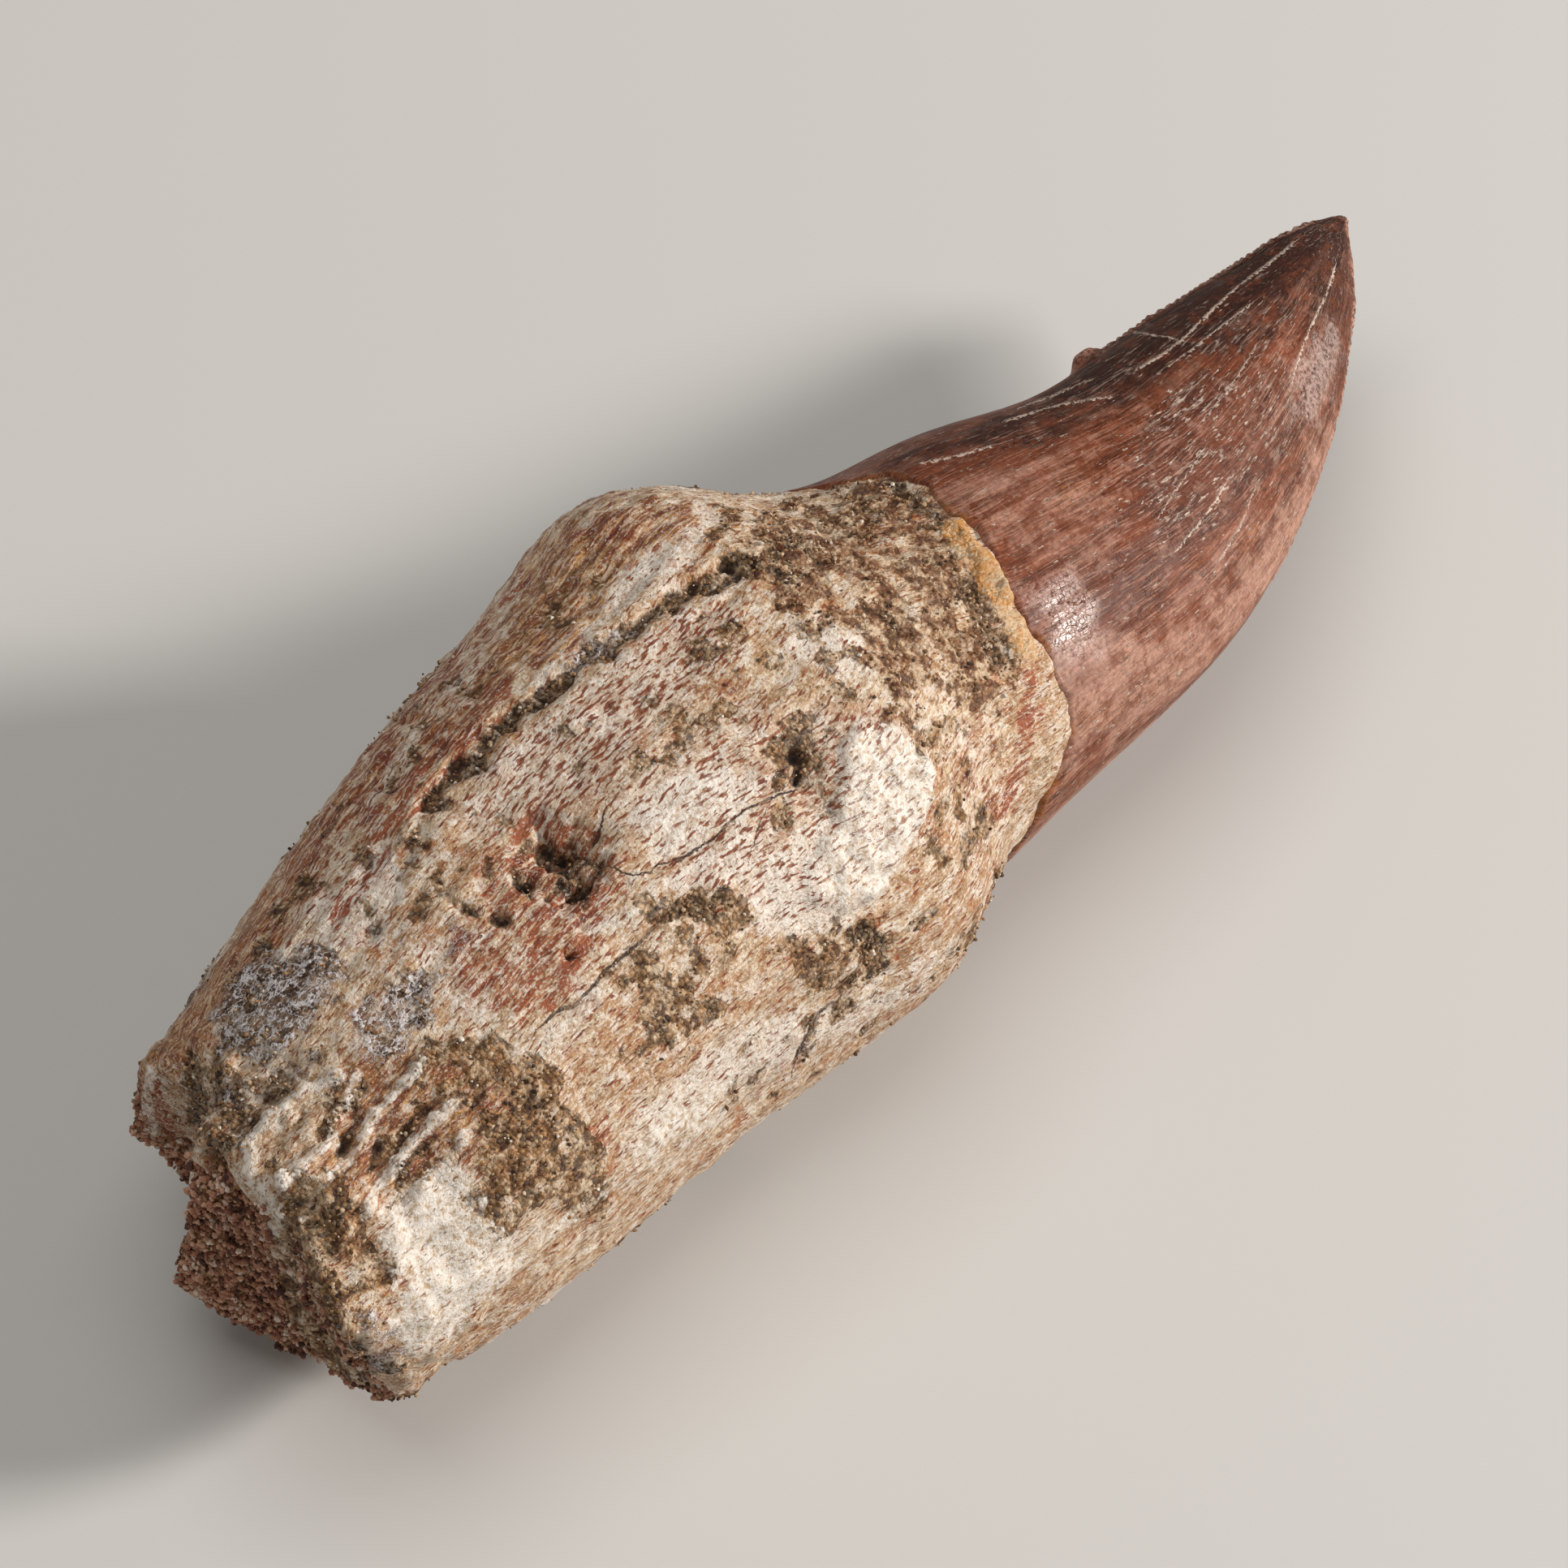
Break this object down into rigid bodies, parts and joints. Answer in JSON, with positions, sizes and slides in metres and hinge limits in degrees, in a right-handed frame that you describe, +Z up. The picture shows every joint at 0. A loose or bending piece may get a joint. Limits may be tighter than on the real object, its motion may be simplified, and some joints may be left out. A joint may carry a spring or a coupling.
{
  "type": "fossil mosasaur tooth",
  "caption": "Fossil mosasaur tooth lying on its side: a curved, glossy brown crown on a thick, pitted, cream and brown bony root with a sand-filled broken end.",
  "frame": {"origin": "bottom centre of the bounding box, in the plane of the surface that the tooth lies on", "axes": "+X from the broken root end to the crown's tip, +Y towards the side that the crown's tip curves to, +Z up"},
  "size_m": [0.0932, 0.0328, 0.0268],
  "materials": {
    "fossil": "rough mineralised bone, cream stained brown; the crown is smooth, glossy, reddish-brown enamel"
  },
  "bodies": {
    "root": {"tooth": "fossil"}
  },
  "joints": []
}
